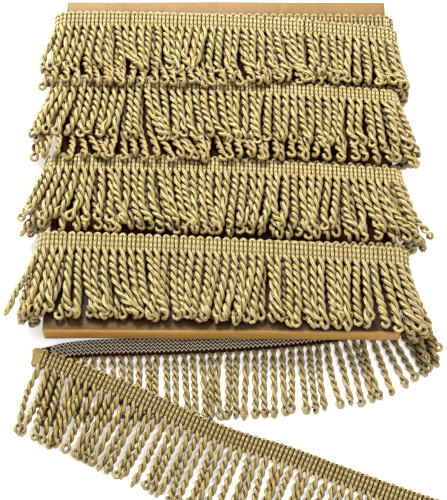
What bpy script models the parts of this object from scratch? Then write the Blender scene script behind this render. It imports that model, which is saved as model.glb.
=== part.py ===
"""Cord fringe trim: a kraft card wound with twisted gold fringe, and a loose tail folded back on itself.

Sizes are in millimetres in the tables and in metres in the meshes. X runs to the right along the rows,
Y to the back, Z up, and the floor is Z = 0. The origin is the middle of the underside of the whole.
"""

import math
import random

import bmesh
import bpy
from mathutils import Vector

MM = 0.001
SEED = 41

# The card: a flat core with rounded edges, held off the floor by the layers wound under it.
CARD_WIDTH = 240.0
CARD_LENGTH = 274.0
CARD_THICK = 12.0
CARD_FLOOR = 10.3
CARD_ROUND = 3.0
CARD_TOP = CARD_FLOOR + CARD_THICK
CLEAR = 0.3

# The trim: a ribbed heading with one two-ply strand below each of its cord loops.
PITCH = 5.9
HEADING_WIDTH = 13.5
HEADING_THICK = 3.8
RIB_HALF = 2.1
GROOVE_DEPTH = 1.1
LOOP_SCALLOP = 1.3
STRAND_REACH = 46.0
STRAND_HALF_WIDE = 2.0
STRAND_HALF_THICK = 1.45
STRAND_TURN = 62.0
STRAND_UPRIGHT = 2.7
FLOOR_EASE = 0.03

# The rows of the face: the back edge of each heading at the card's left side, middle and right side, the
# strands' reach, how far they sway and how far their ends sink.
ROW_COLUMNS = ("name", "left_y", "middle_y", "right_y", "reach", "wave", "phase", "tip_drop")
ROWS = (
    ("fringe_1", 123.5, 120.8, 109.5, 40.5, 2.6, 0.4, 1.4),
    ("fringe_2", 64.0, 61.0, 53.0, 43.0, 2.8, 2.1, 1.4),
    ("fringe_3", -0.6, -4.0, -11.5, 44.0, 2.6, 3.9, 1.2),
    ("fringe_4", -64.5, -69.0, -76.5, 47.5, 3.0, 5.2, 3.6),
)
ROW_STRANDS = 44
ROW_HALF_FLAT = 118.3
CORNER_DROP = 2.5
EDGE_FLARE = 13.0
FLARE_FROM = 98.0

# The under layer and its sides: distance from the heading's back edge, thickness on the face, height of the
# underside, thickness at the sides, and depth of the ribs.
SLEEVE_COLUMNS = ("along", "face", "under", "side", "rib")
SLEEVE_ROW = (
    (0.0, 4.6, 0.0, 4.7, 0.0),
    (13.5, 4.6, 0.0, 4.7, 0.0),
    (16.0, 3.9, 0.3, 4.4, 0.9),
    (48.0, 3.2, 0.3, 4.2, 0.9),
    (54.0, 2.2, 2.4, 3.0, 0.3),
    (59.0, 2.2, 2.4, 3.0, 0.3),
)
SLEEVE_FACE = 4.7
VALLEY_WIDTH = 4.5
LAST_ROW_UNDER = 5.7
LAST_ROW_SINK = 0.9
SLEEVE_FRONT = 54.5
FIRST_TURN = {"left_y": 125.4, "middle_y": 124.6, "right_y": 123.8}
SLEEVE_BACK = -2.5
UNDER_HEADING_LAG = (2.0, -1.5, 2.0, 4.5)
FACE_POINTS = 9
UNDER_RIBS = 20
SIDE_RIBS = 2
CORNER_STEPS = 3

# The tail: the back edge of its heading, from the last row round the right side of the card, left along
# the floor, over the fold and out to the lower right. Lean turns the strands from straight forward to +X.
TAIL_COLUMNS = ("x", "y", "z", "lean")
TAIL_BACK = (
    (126.5, -80.5, 21.5, 1.0),
    (126.5, -83.5, 14.0, 5.0),
    (126.3, -87.0, 7.2, 13.0),
    (123.6, -91.5, 3.0, 21.5),
    (117.6, -97.5, 1.7, 24.0),
    (107.0, -107.5, 1.5, 23.5),
    (92.0, -116.5, 1.5, 18.0),
    (72.0, -122.5, 1.5, 10.0),
    (44.0, -126.5, 1.5, 4.0),
    (4.0, -130.0, 1.5, 1.0),
    (-40.0, -132.5, 1.5, -1.0),
    (-84.0, -134.0, 1.5, -2.5),
    (-106.0, -136.5, 1.5, -6.0),
    (-115.0, -138.9, 1.5, -9.5),
)
TAIL_FOLD = (
    (-123.6, -141.2, 2.0, -12.5),
    (-126.6, -141.8, 4.6, -13.0),
    (-123.6, -142.2, 7.2, -13.5),
)
TAIL_FRONT = (
    (-114.5, -145.4, 7.8, -17.0),
    (-106.0, -148.6, 7.8, -19.0),
    (-87.0, -156.4, 7.8, -22.0),
    (-66.0, -165.4, 7.8, -22.5),
    (-42.0, -176.4, 7.8, -22.5),
    (-20.0, -187.6, 7.4, -22.0),
    (-6.0, -193.2, 5.4, -21.5),
    (8.0, -198.0, 3.1, -21.0),
    (24.0, -202.8, 1.7, -21.0),
    (46.0, -209.6, 1.5, -22.0),
    (78.0, -222.0, 1.5, -22.0),
    (104.0, -232.0, 1.5, -21.5),
    (136.0, -243.6, 1.5, -21.0),
    (164.0, -253.6, 1.5, -21.0),
)
TAIL_THICK = 3.0
SIDE_FLARE = 3.0
SIDE_FAN = 9.0
TAIL_RIBBON_WIDTH = 10.2
TAIL_STRIP_GAP = 0.4
TAIL_BACK_PITCH = 6.1
SIDE_LIMB_START = 0.5
SIDE_LIMB_END = 2.0
SIDE_LIMB_LIFT = 5.8
SIDE_LIMB_GAP = 1.4
LIMB_HEIGHT = 6.4
LIMB_REACH = 64.0
LIMB_SLOPE = 20.0

COLOURS = {
    "gold_cord": ((0.50, 0.36, 0.12, 1.0), 0.52),
    "kraft_card": ((0.46, 0.27, 0.09, 1.0), 0.70),
}


def clear_scene():
    for obj in list(bpy.data.objects):
        bpy.data.objects.remove(obj, do_unlink=True)
    for found in list(bpy.data.collections):
        bpy.data.collections.remove(found)


def new_collection(name):
    made = bpy.data.collections.new(name)
    bpy.context.scene.collection.children.link(made)
    return made


def material(name):
    colour, roughness = COLOURS[name]
    made = bpy.data.materials.new(name)
    made.use_nodes = True
    shader = made.node_tree.nodes["Principled BSDF"]
    shader.inputs["Base Color"].default_value = colour
    shader.inputs["Roughness"].default_value = roughness
    shader.inputs["Metallic"].default_value = 0.0
    return made


def object_of(name, bm, collection, skin):
    bmesh.ops.recalc_face_normals(bm, faces=bm.faces)
    bmesh.ops.scale(bm, verts=bm.verts, vec=(MM, MM, MM))
    mesh = bpy.data.meshes.new(name)
    bm.to_mesh(mesh)
    bm.free()
    mesh.materials.append(skin)
    made = bpy.data.objects.new(name, mesh)
    collection.objects.link(made)
    return made


def box(bm, low, high):
    size = [b - a for a, b in zip(low, high)]
    middle = [(a + b) / 2 for a, b in zip(low, high)]
    found = bmesh.ops.create_cube(bm, size=1.0)["verts"]
    bmesh.ops.scale(bm, verts=found, vec=size)
    bmesh.ops.translate(bm, verts=found, vec=middle)


def smooth(low, high, value):
    part = min(1.0, max(0.0, (value - low) / (high - low)))
    return part * part * (3.0 - 2.0 * part)


def build_card(collection, skin):
    bm = bmesh.new()
    half = (CARD_WIDTH / 2, CARD_LENGTH / 2)
    box(bm, (-half[0], -half[1], CARD_FLOOR), (half[0], half[1], CARD_TOP))
    made = object_of("card", bm, collection, skin)
    edges = made.modifiers.new("rounded_edges", "BEVEL")
    edges.width = CARD_ROUND * MM
    edges.segments = 3
    edges.limit_method = "ANGLE"
    return made


def row_back_edge(row, x, lag=0.0):
    """Y of the back edge of a row's heading at this x, the under layer's lagging behind to the right."""
    part = 2.0 * x / CARD_WIDTH
    tilt = (row["right_y"] - row["left_y"]) / 2 * part
    bend = ((row["right_y"] + row["left_y"]) / 2 - row["middle_y"]) * part * part
    return row["middle_y"] + tilt + bend + lag * (part + 1.0) / 2


def sleeve_section(face, under, side, rib):
    """Points (x, z) round the sleeve, clockwise from the left end of its face as seen from the front."""
    top = CARD_TOP + face
    upper = CARD_TOP - CORNER_DROP
    lower = CARD_FLOOR + CORNER_DROP
    reach = CARD_WIDTH / 2 + side - ROW_HALF_FLAT
    steps = [math.radians(90.0 * i / CORNER_STEPS) for i in range(CORNER_STEPS + 1)]
    points = []
    for i in range(1, FACE_POINTS - 1):
        points.append((ROW_HALF_FLAT * (2.0 * i / (FACE_POINTS - 1) - 1.0), top))
    for turn in steps:
        points.append((ROW_HALF_FLAT + reach * math.sin(turn), upper + (top - upper) * math.cos(turn)))
    for i in range(1, SIDE_RIBS * 2):
        dent = rib if i % 2 else 0.0
        height = upper + (lower - upper) * i / (SIDE_RIBS * 2)
        points.append((ROW_HALF_FLAT + reach - dent, height))
    for turn in steps:
        points.append((ROW_HALF_FLAT + reach * math.cos(turn), lower - (lower - under) * math.sin(turn)))
    for i in range(1, UNDER_RIBS * 2):
        dent = rib if i % 2 else 0.0
        points.append((ROW_HALF_FLAT * (1.0 - i / UNDER_RIBS), under + dent))
    for turn in steps:
        points.append((-ROW_HALF_FLAT - reach * math.sin(turn), lower - (lower - under) * math.cos(turn)))
    for i in range(1, SIDE_RIBS * 2):
        dent = rib if i % 2 else 0.0
        height = lower + (upper - lower) * i / (SIDE_RIBS * 2)
        points.append((-ROW_HALF_FLAT - reach + dent, height))
    for turn in steps:
        points.append((-ROW_HALF_FLAT - reach * math.cos(turn), upper + (top - upper) * math.sin(turn)))
    return points


def row_room(row, next_row):
    """How much of the sleeve's usual row fits between this row and the next one, where they are closest."""
    least = min(row[key] - next_row[key] for key in ("left_y", "middle_y", "right_y"))
    return min(1.0, (least - VALLEY_WIDTH) / SLEEVE_ROW[-1][0])


def sleeve_stations(rows):
    """(row, lag, along, face, under, side, rib) from the back end to the front end of the sleeve."""
    stations = [
        (FIRST_TURN, 0.0, SLEEVE_BACK, 2.6, 2.6, 3.0, 0.0),
        (FIRST_TURN, 0.0, 0.0, *SLEEVE_ROW[0][1:]),
    ]
    for number, row in enumerate(rows):
        last = number == len(rows) - 1
        room = 1.0 if last else row_room(row, rows[number + 1])
        for along, face, under, side, rib in SLEEVE_ROW:
            if last and along > SLEEVE_FRONT - 4.0:
                continue
            if last:
                under = max(LAST_ROW_UNDER, under)
                face -= LAST_ROW_SINK if along > HEADING_WIDTH + 5.0 else 0.0
            stations.append((row, UNDER_HEADING_LAG[number], along * room, face, under, side, rib))
    straight = dict(rows[-1], middle_y=(rows[-1]["left_y"] + rows[-1]["right_y"]) / 2)
    stations.append((straight, UNDER_HEADING_LAG[-1], SLEEVE_FRONT, 1.7, 7.0, 2.6, 0.0))
    return stations


def build_winding(rows, collection, cutters, skin):
    """The wound form: one ring drawn out station by station from back to front, with the card's tunnel."""
    bm = bmesh.new()
    count = len(sleeve_section(4.0, 0.0, 5.0, 0.0))
    ring = bmesh.ops.create_circle(bm, cap_ends=True, radius=1.0, segments=count)["verts"]
    stations = sleeve_stations(rows)
    for number, (row, lag, along, face, under, side, rib) in enumerate(stations):
        if number:
            edges = [e for e in bm.edges if e.verts[0] in ring_set and e.verts[1] in ring_set]
            grown = bmesh.ops.extrude_edge_only(bm, edges=edges)["geom"]
            partner = {}
            fresh = [v for v in grown if isinstance(v, bmesh.types.BMVert)]
            for vert in fresh:
                for edge in vert.link_edges:
                    other = edge.other_vert(vert)
                    if other in ring_set:
                        partner[other] = vert
            ring = [partner[vert] for vert in ring]
        for vert, (x, z) in zip(ring, sleeve_section(face, under, side, rib)):
            vert.co = (x, row_back_edge(row, x, lag) - along, z)
        ring_set = set(ring)
    bmesh.ops.contextual_create(bm, geom=ring)
    made = object_of("winding", bm, collection, skin)
    tool = bmesh.new()
    half = (CARD_WIDTH / 2 + CLEAR, CARD_LENGTH / 2 + 20.0)
    box(tool, (-half[0], -half[1], CARD_FLOOR - CLEAR), (half[0], half[1], CARD_TOP + CLEAR))
    cutter = object_of("card_tunnel", tool, cutters, skin)
    cutter.hide_render = True
    cutter.display_type = "WIRE"
    cut = made.modifiers.new("card_tunnel", "BOOLEAN")
    cut.operation = "DIFFERENCE"
    cut.solver = "EXACT"
    cut.object = cutter
    return made


def row_rail(row, s):
    """The frame of a row's heading at s along it: its back edge, ruling, tangent and outward normal."""
    middle = CARD_TOP + SLEEVE_FACE + CLEAR + HEADING_THICK / 2
    radius = middle - (CARD_TOP - CORNER_DROP)
    beyond = abs(s) - ROW_HALF_FLAT
    side = math.copysign(1.0, s)
    if beyond <= 0:
        x, z, turn = s, middle, 0.0
    else:
        turn = beyond / radius
        x = side * (ROW_HALF_FLAT + radius * math.sin(turn))
        z = CARD_TOP - CORNER_DROP + radius * math.cos(turn)
    slope = row_back_edge(row, x + 0.5) - row_back_edge(row, x - 0.5)
    tangent = Vector((math.cos(turn), slope, -side * math.sin(turn))).normalized()
    normal = Vector((side * math.sin(turn), 0.0, math.cos(turn)))
    return Vector((x, row_back_edge(row, x), z)), Vector((0.0, -1.0, 0.0)), tangent, normal


def on_floor(point):
    """The point, or the floor's height over it where a bend of the heading would dip under the floor."""
    return Vector((point.x, point.y, max(0.0, point.z)))


def curve_at(table, place):
    """A row of the table's numbers at this place along it, passing smoothly through each row."""
    last = len(table) - 1
    low = min(last - 1, max(0, int(math.floor(place))))
    part = place - low
    before, first, second, after = (table[min(last, max(0, low + i))] for i in (-1, 0, 1, 2))
    values = []
    for a, b, c, d in zip(before, first, second, after):
        bend = (2 * a - 5 * b + 4 * c - d) * part + (3 * b - a - 3 * c + d) * part * part
        values.append(b + 0.5 * part * ((c - a) + bend))
    return values


def tail_frame(table, place):
    """The frame of the tail at this place in its table: back edge, ruling, tangent and face normal."""
    x, y, z, lean = curve_at(table, place)
    step = 0.02
    middle = min(len(table) - 1 - step, max(step, place))
    ahead = Vector(curve_at(table, middle + step)[:3])
    behind = Vector(curve_at(table, middle - step)[:3])
    tangent = (ahead - behind).normalized()
    turn = math.radians(lean)
    ruling = Vector((math.sin(turn), -math.cos(turn), 0.0))
    if abs(tangent.z) > 0.25:
        level = Vector((0.0, -1.0, 0.0))
        ruling = (ruling * (1 - abs(tangent.z)) + level * abs(tangent.z)).normalized()
    normal = ruling.cross(tangent).normalized()
    return Vector((x, y, z)), ruling, tangent, normal


def tail_places(table, first, last, pitch):
    """Places in the table spaced evenly by the length along the heading's middle."""
    fine = []
    length = 0.0
    before = None
    steps = 400
    for i in range(steps + 1):
        place = first + (last - first) * i / steps
        origin, ruling, _, _ = tail_frame(table, place)
        point = origin + ruling * HEADING_WIDTH
        if before is not None:
            length += (point - before).length
        fine.append((length, place))
        before = point
    count = int((length - 1e-6) / pitch)
    rest = (length - count * pitch) / 2
    places = []
    for number in range(count + 1):
        wanted = rest + number * pitch
        for (low, a), (high, b) in zip(fine, fine[1:]):
            if low <= wanted <= high:
                places.append(a + (b - a) * (wanted - low) / max(1e-9, high - low))
                break
    return places


def grown_face(bm, face, keep_first):
    """The face drawn out by one step, with its corners in the same order; the first one stays as the end."""
    if not keep_first:
        return bmesh.ops.extrude_discrete_faces(bm, faces=[face])["faces"][0]
    grown = bmesh.ops.extrude_face_region(bm, geom=[face])["geom"]
    return [found for found in grown if isinstance(found, bmesh.types.BMFace)][0]


def strip_with_strands(bm, frames, width_from, width_to, thick, strands):
    """A heading drawn out cell by cell through the frames, then a strand pulled from each ribbed cell."""
    corner = ((width_from, -1), (width_from, 1), (width_to, 1), (width_to, -1))
    face = None
    roots = []
    for number, (origin, ruling, normal, kind) in enumerate(frames):
        top = thick / 2 - (GROOVE_DEPTH if kind == "groove" else 0.0)
        back = LOOP_SCALLOP if kind == "groove" else 0.0
        points = []
        for along, side in corner:
            inset = back if along == width_from else 0.0
            height = top if side > 0 else -thick / 2
            points.append(on_floor(origin + ruling * (along + inset) + normal * height))
        if face is None:
            verts = [bm.verts.new(point) for point in points]
            face = bm.faces.new(verts)
            continue
        before = list(face.verts)
        face = grown_face(bm, face, number == 1)
        fresh = list(face.verts)
        for vert, point in zip(fresh, points):
            vert.co = point
        if kind == "rib_end":
            side = {before[2], before[3], fresh[3]}
            roots += [found for found in fresh[2].link_faces if side <= set(found.verts)]
    for root, strand in zip(roots, strands):
        pull_strand(bm, root, strand)


def pull_strand(bm, face, strand):
    """Draws one twisted strand out of its rib's front face, ring by ring."""
    path, across, up = strand
    middle = face.calc_center_median()
    signs = {}
    for number, vert in enumerate(face.verts):
        local = vert.co - middle
        signs[number] = (math.copysign(1.0, local.dot(across)), math.copysign(1.0, local.dot(up)))
    total = len(path) - 1
    previous = middle
    for step, point in enumerate(path, start=1):
        ahead = path[min(total, step)]
        heading = (ahead - previous).normalized()
        side = (across - heading * across.dot(heading)).normalized()
        rise = heading.cross(side)
        if rise.dot(up) < 0:
            rise.negate()
        turn = math.radians(STRAND_TURN * step)
        face = bmesh.ops.extrude_discrete_faces(bm, faces=[face])["faces"][0]
        for number, vert in enumerate(face.verts):
            wide = signs[number][0] * STRAND_HALF_WIDE
            high = signs[number][1] * STRAND_HALF_THICK
            a = wide * math.cos(turn) - high * math.sin(turn)
            b = wide * math.sin(turn) + high * math.cos(turn)
            vert.co = point + side * a + rise * b
        previous = point


def strand_radius(turn):
    """Half the height of a strand's section at this turn, so that it lies level on what is under it."""
    c, s = abs(math.cos(turn)), abs(math.sin(turn))
    return STRAND_HALF_WIDE * s + STRAND_HALF_THICK * c


def rib_frames(places, frame_at):
    """The frames of a ribbed heading: each rib's two sides, and a groove between neighbouring ribs."""
    frames = []
    step = 0.01
    for number, place in enumerate(places):
        if number:
            origin, ruling, _, normal = frame_at((places[number - 1] + place) / 2)
            frames.append((origin, ruling, normal, "groove"))
        ends = [frame_at(place + side * step) for side in (-1, 1)]
        middle = [origin + ruling * HEADING_WIDTH for origin, ruling, _, _ in ends]
        half = RIB_HALF * 2 * step / (middle[1] - middle[0]).length
        for side, kind in ((-1, "rib_start"), (1, "rib_end")):
            origin, ruling, _, normal = frame_at(place + side * half)
            frames.append((origin, ruling, normal, kind))
    return frames


def build_row(row, collection, skin, rng):
    bm = bmesh.new()
    span = (ROW_STRANDS - 1) * PITCH / 2
    places = [-span + PITCH * i for i in range(ROW_STRANDS)]
    frames = rib_frames(places, lambda s: row_rail(row, s))
    strands = []
    for place in places:
        origin, ruling, tangent, normal = row_rail(row, place)
        root = origin + ruling * HEADING_WIDTH
        reach = row["reach"] + rng.uniform(-1.2, 1.2)
        flare = smooth(FLARE_FROM, span, abs(place)) * EDGE_FLARE * math.copysign(1.0, place)
        drift = row["wave"] * math.sin(place / 26.0 + row["phase"]) + flare
        fall = row["tip_drop"] + 4.0 * smooth(ROW_HALF_FLAT - 6.0, span, abs(place))
        path = []
        for step in (1, 2, 3):
            part = step / 3.0
            turn = math.radians(STRAND_TURN * step)
            lift = strand_radius(turn) - HEADING_THICK / 2
            point = root + ruling * reach * part + Vector((drift * part * part, 0.0, 0.0))
            point += normal * lift - Vector((0.0, 0.0, fall * part * part))
            path.append(point)
        strands.append((path, tangent, normal))
    strip_with_strands(bm, frames, 0.0, HEADING_WIDTH, HEADING_THICK, strands)
    return object_of(row["name"], bm, collection, skin)


def build_tail_heading(table, collection, skin):
    """One folded ribbon, drawn out from its end on the card to its free end."""
    bm = bmesh.new()
    fold_first = len(TAIL_BACK) - 1
    fold_last = len(TAIL_BACK) + len(TAIL_FOLD)
    places = []
    for number in range(len(table) - 1):
        cuts = 3 if fold_first <= number < fold_last or number < 6 else 2
        places += [number + i / cuts for i in range(cuts)]
    places.append(len(table) - 1)
    face = None
    for number, place in enumerate(places):
        origin, ruling, _, normal = tail_frame(table, place)
        half = TAIL_THICK / 2
        points = [
            origin + normal * -half,
            origin + normal * half,
            origin + ruling * TAIL_RIBBON_WIDTH + normal * half,
            origin + ruling * TAIL_RIBBON_WIDTH + normal * -half,
        ]
        if face is None:
            face = bm.faces.new([bm.verts.new(point) for point in points])
            continue
        face = grown_face(bm, face, number == 1)
        for vert, point in zip(face.verts, points):
            vert.co = on_floor(point)
    return object_of("tail_heading", bm, collection, skin)


def limb_height(point):
    """Height of the back limb's strands under this point, sloping away to the floor in front of them."""
    edge = None
    for (x0, y0, _, _), (x1, y1, _, _) in zip(TAIL_BACK, TAIL_BACK[1:]):
        if min(x0, x1) <= point.x <= max(x0, x1):
            edge = y0 + (y1 - y0) * (point.x - x0) / (x1 - x0)
    if edge is None:
        edge = TAIL_BACK[-1][1] if point.x < 0 else TAIL_BACK[0][1]
    beyond = (edge - LIMB_REACH) - point.y
    beside = max(0.0, TAIL_BACK[-1][0] - 6.0 - point.x)
    out = math.hypot(max(0.0, beyond), beside)
    return LIMB_HEIGHT * (1.0 - min(1.0, out / LIMB_SLOPE))


def build_tail_fringe(name, table, first, last, pitch, lift, collection, skin, rng):
    """One limb's strands. They lie at this lift, or with no lift given on the limb under them."""
    bm = bmesh.new()
    places = tail_places(table, first, last, pitch)
    frames = rib_frames(places, lambda place: tail_frame(table, place))
    strands = []
    for number, place in enumerate(places):
        origin, ruling, tangent, normal = tail_frame(table, place)
        up = normal if normal.z > -0.3 else -normal
        fan = SIDE_FLARE + SIDE_FAN * (len(places) - 1 - number)
        root = origin + ruling * HEADING_WIDTH
        reach = STRAND_REACH + rng.uniform(-1.0, 1.0)
        path = []
        for step in (1, 2, 3):
            part = step / 3.0
            turn = math.radians(STRAND_TURN * step)
            outward = fan * part if lift else 0.0
            point = root + ruling * reach * part + Vector((outward, 0.0, 0.0))
            floor = limb_height(point) if lift is None else lift
            upright = abs(tangent.z) > 0.15
            rest = floor + FLOOR_EASE + (STRAND_UPRIGHT if upright else strand_radius(turn))
            point.z = max(rest, root.z + (rest - root.z) * (1.2 * part)) if root.z > rest else rest
            path.append(point)
        strands.append((path, tangent, up))
    strip_with_strands(
        bm, frames, TAIL_RIBBON_WIDTH + TAIL_STRIP_GAP, HEADING_WIDTH, TAIL_THICK, strands
    )
    return object_of(name, bm, collection, skin)


def centre_on_floor(parts):
    """Moves every part so that the middle of the whole's underside is the origin."""
    bpy.context.view_layer.update()
    points = [part.matrix_world @ Vector(corner) for part in parts for corner in part.bound_box]
    shift = Vector((0.0, 0.0, 0.0))
    for axis in (0, 1):
        values = [point[axis] for point in points]
        shift[axis] = -(min(values) + max(values)) / 2
    for obj in bpy.data.objects:
        obj.location = shift


def main():
    clear_scene()
    rng = random.Random(SEED)
    parts = new_collection("cord_fringe_trim")
    cutters = new_collection("cutters")
    gold = material("gold_cord")
    kraft = material("kraft_card")
    rows = [dict(zip(ROW_COLUMNS, values)) for values in ROWS]
    made = [build_card(parts, kraft), build_winding(rows, parts, cutters, gold)]
    for row in rows:
        made.append(build_row(row, parts, gold, rng))
    table = TAIL_BACK + TAIL_FOLD + TAIL_FRONT
    made.append(build_tail_heading(table, parts, gold))
    start_of_front = len(TAIL_BACK) + len(TAIL_FOLD) - 0.45
    start_of_back = SIDE_LIMB_END + SIDE_LIMB_GAP
    limbs = (
        ("tail_fringe_side", SIDE_LIMB_START, SIDE_LIMB_END, TAIL_BACK_PITCH, SIDE_LIMB_LIFT),
        ("tail_fringe_back", start_of_back, len(TAIL_BACK) - 1.1, TAIL_BACK_PITCH, 0.0),
        ("tail_fringe_front", start_of_front, len(table) - 1.05, PITCH, None),
    )
    for name, first, last, pitch, lift in limbs:
        made.append(build_tail_fringe(name, table, first, last, pitch, lift, parts, gold, rng))
    centre_on_floor(made)


main()
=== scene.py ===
"""Visual model of a cord fringe trim wound on a kraft card, with its loose tail folded back on itself.

Every strand is one closed cord: it comes up one leg of the heading, turns over the top, goes down the
other leg, and its two halves twist round each other to a small loop at the strand's end.
"""

import math
import random

import bmesh
import bpy
from mathutils import Matrix, Vector, noise


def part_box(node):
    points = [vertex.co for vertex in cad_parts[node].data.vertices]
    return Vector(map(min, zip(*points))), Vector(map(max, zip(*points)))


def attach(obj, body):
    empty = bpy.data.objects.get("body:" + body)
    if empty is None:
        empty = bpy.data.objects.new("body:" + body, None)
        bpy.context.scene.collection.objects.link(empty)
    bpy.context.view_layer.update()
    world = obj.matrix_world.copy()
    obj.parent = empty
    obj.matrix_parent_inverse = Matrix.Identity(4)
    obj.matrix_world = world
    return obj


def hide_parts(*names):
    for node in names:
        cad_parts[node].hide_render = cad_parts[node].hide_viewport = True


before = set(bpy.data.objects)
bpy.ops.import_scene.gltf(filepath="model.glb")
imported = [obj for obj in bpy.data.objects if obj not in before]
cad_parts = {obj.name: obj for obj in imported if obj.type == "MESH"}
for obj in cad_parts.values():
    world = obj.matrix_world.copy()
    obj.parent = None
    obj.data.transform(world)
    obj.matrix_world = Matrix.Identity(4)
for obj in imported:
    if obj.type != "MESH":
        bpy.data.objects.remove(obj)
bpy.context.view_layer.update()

bl_info = {
    "name": "Wound Cord Fringe",
    "version": (1, 0, 0),
    "blender": (4, 5, 0),
    "location": "View3D > Sidebar > Fringe",
    "description": "Makes a bullion cord fringe wound on a card, with a loose folded tail",
    "category": "Object",
}

MM = 0.001
SEED = 7

# The trim in millimetres: from one strand to the next, across its heading, and from the heading's back edge
# to where the strands start.
PITCH = 5.9
HEADING = 13.5
STRAND_ROOT = 13.0
# The cord's radius for which the spline radii of the stitches are given.
STITCH_BASE = 1.27
# The woven ground's thickness, in metres.
GROUND_THICKNESS = 0.0005

# The card and the levels of the wound layers, in millimetres above the floor.
CARD_WIDTH = 240.0
CARD_LENGTH = 276.8
CARD_FORWARD = 0.3
CARD_FLOOR = 10.3
CARD_TOP = 22.3
HALF_FLAT = 118.3
CORNER_DROP = 2.5
OUTER_LEVEL = 6.9
INNER_LEVEL = 2.7
OUTER_UNDER = 2.6
INNER_UNDER = 7.6

# The rows on the face: the back edge of the heading at the left, middle and right of the card, the strands'
# reach, how far they sway, how far their ends sink, and how far the heading's back edge is tipped down.
ROW_COLUMNS = (
    "name", "left_y", "middle_y", "right_y", "reach", "wave", "phase", "tip_drop", "tip_back"
)
ROWS = (
    ("fringe_1", 123.5, 120.8, 109.5, 38.0, 1.8, 0.4, 0.4, 0.0),
    ("fringe_2", 67.0, 64.0, 55.0, 39.0, 2.0, 2.1, 0.4, 2.6),
    ("fringe_3", -0.6, -4.0, -11.5, 41.0, 1.8, 3.9, 0.4, 2.6),
    ("fringe_4", -64.5, -69.0, -76.5, 46.0, 2.0, 5.2, 3.4, 0.0),
)
# How far the outermost strands of each row stand out to the left and to the right at their ends.
LEFT_FLARES = (9.0, 12.5, 12.5, 13.5)
RIGHT_FLARES = (7.0, 10.0, 13.0, 15.0)
# The layer under them: the same columns for its own back edges, its reach, and how far its ends curl up
# over the next row's heading at the left and at the right.
UNDER_COLUMNS = ("left_y", "middle_y", "right_y", "reach", "curl_left", "curl_right")
UNDER_ROWS = (
    (125.0, 124.4, 123.0, 45.5, 8.5, 3.0),
    (69.0, 66.5, 60.0, 50.0, 10.0, 4.0),
    (1.5, -1.5, -8.0, 46.0, 2.0, 2.0),
    (-67.5, -69.4, -70.6, 45.0, 0.0, 0.0),
)
ROW_STRANDS = 44
UNDER_SPAN = 126.0
FLARE_FROM = 84.0
# Added to an under row's number, which takes it out of the partings and the strays of the rows above it.
UNDER_NUMBER = 8

# Single strands that stand out further than their row's flare: row, x and how far out.
STRAYS = (
    (3, -127.0, -9.0),
    (0, -127.0, -2.5),
    (1, 127.0, 2.0),
)

# Partings where neighbouring strands lean away from each other and the under layer shows between them:
# row, x, spread and width.
PARTINGS = (
    (0, -82.0, 1.6, 12.0),
    (0, 38.0, 1.8, 12.0),
    (1, -58.0, 1.8, 14.0),
    (1, 64.0, 1.6, 12.0),
    (2, -30.0, 1.6, 12.0),
    (2, 82.0, 1.8, 14.0),
    (3, -74.0, 1.8, 14.0),
    (3, 31.0, 2.4, 12.0),
    (3, 56.0, 1.8, 10.0),
)

# The tail, from the last row to its free end: x, y and z of its heading's back edge, and its strands' lean.
TAIL_BACK = (
    (126.5, -80.5, 21.5, 1.0),
    (126.5, -83.5, 14.0, 5.0),
    (126.3, -87.0, 7.2, 13.0),
    (123.6, -91.5, 3.0, 21.5),
    (117.6, -97.5, 1.7, 24.0),
    (107.0, -107.5, 1.5, 23.5),
    (92.0, -116.5, 1.5, 18.0),
    (72.0, -122.5, 1.5, 10.0),
    (44.0, -126.5, 1.5, 4.0),
    (4.0, -130.0, 1.5, 1.0),
    (-40.0, -132.5, 1.5, -1.0),
    (-84.0, -134.0, 1.5, -2.5),
    (-106.0, -136.5, 1.5, -6.0),
    (-115.0, -138.9, 1.5, -9.5),
)
TAIL_FOLD = (
    (-123.6, -141.2, 2.0, -12.5),
    (-126.6, -141.8, 4.6, -13.0),
    (-123.6, -142.2, 7.2, -13.5),
)
TAIL_FRONT = (
    (-114.5, -145.4, 7.8, -17.0),
    (-106.0, -148.6, 7.8, -19.0),
    (-87.0, -156.4, 7.8, -22.0),
    (-66.0, -165.4, 7.8, -22.5),
    (-42.0, -176.4, 7.8, -22.5),
    (-20.0, -187.6, 7.4, -22.0),
    (-6.0, -193.2, 5.4, -21.5),
    (8.0, -198.0, 3.1, -21.0),
    (24.0, -202.8, 1.7, -21.0),
    (46.0, -209.6, 1.5, -22.0),
    (78.0, -222.0, 1.5, -22.0),
    (104.0, -232.0, 1.5, -21.5),
    (136.0, -243.6, 1.5, -21.0),
    (164.0, -253.6, 1.5, -21.0),
)
TAIL = TAIL_BACK + TAIL_FOLD + TAIL_FRONT
# The back limb as a bank under the front limb's strands: its height, how far it reaches, and its slope's run.
LIMB_HEIGHT = 5.6
LIMB_REACH = 62.0
LIMB_SLOPE = 22.0
# The strands at the card's corner: where they start and end in the tail's table, and how they lie.
SIDE_START = 0.4
SIDE_END = 2.9
SIDE_LIFT = 5.2
SIDE_FLARE = 2.0
SIDE_FAN = 5.5

# The heading's stitches: rows of binding thread on the face, and rows of zigzag thread on the reverse.
BINDER_ROWS = (3.3, 7.1, 10.9)
BINDER_STEP = 3.8
ZIGZAG_ROWS = (2.3, 4.9, 7.5, 10.1)
THREAD = 0.30
ZIGZAG_THREAD = 0.42

# The camera, solved from the card's four corners in the photograph; its place is from the card's middle.
CAMERA_PLACE = (19.8, -567.1, 928.7)
CAMERA_ELEVATION = 61.5
CAMERA_AZIMUTH = -2.2
CAMERA_ROLL = -1.72
CAMERA_LENS = 108.0


def srgb(text):
    """A six-figure colour as linear red, green and blue."""
    values = [int(text[i : i + 2], 16) / 255.0 for i in (0, 2, 4)]
    return tuple(v / 12.92 if v <= 0.04045 else ((v + 0.055) / 1.055) ** 2.4 for v in values)


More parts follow.
